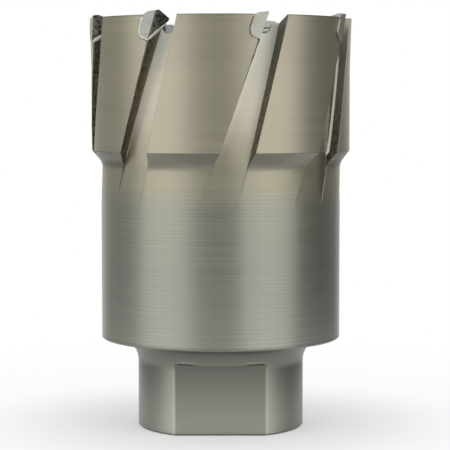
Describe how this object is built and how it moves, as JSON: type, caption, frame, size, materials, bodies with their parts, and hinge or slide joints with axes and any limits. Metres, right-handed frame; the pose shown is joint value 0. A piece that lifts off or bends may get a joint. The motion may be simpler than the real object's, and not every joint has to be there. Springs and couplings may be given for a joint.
{
  "type": "annular cutter",
  "caption": "Carbide-tipped annular cutter: fluted hollow steel head with brazed tips, plain barrel, threaded shank with wrench flats.",
  "frame": {"origin": "centre of the shank's end face, on the axis of rotation", "axes": "+Z along the axis of rotation towards the teeth, -Y square to the front wrench flat"},
  "size_m": [0.0444, 0.0445, 0.0702],
  "materials": {
    "steel": "turned and satin",
    "carbide": "ground, dark grey"
  },
  "bodies": {
    "root": {"cutter_body": "steel", "carbide_tip_1": "carbide", "carbide_tip_2": "carbide", "carbide_tip_3": "carbide", "carbide_tip_4": "carbide", "carbide_tip_5": "carbide", "carbide_tip_6": "carbide", "carbide_tip_7": "carbide", "carbide_tip_8": "carbide"}
  },
  "joints": []
}
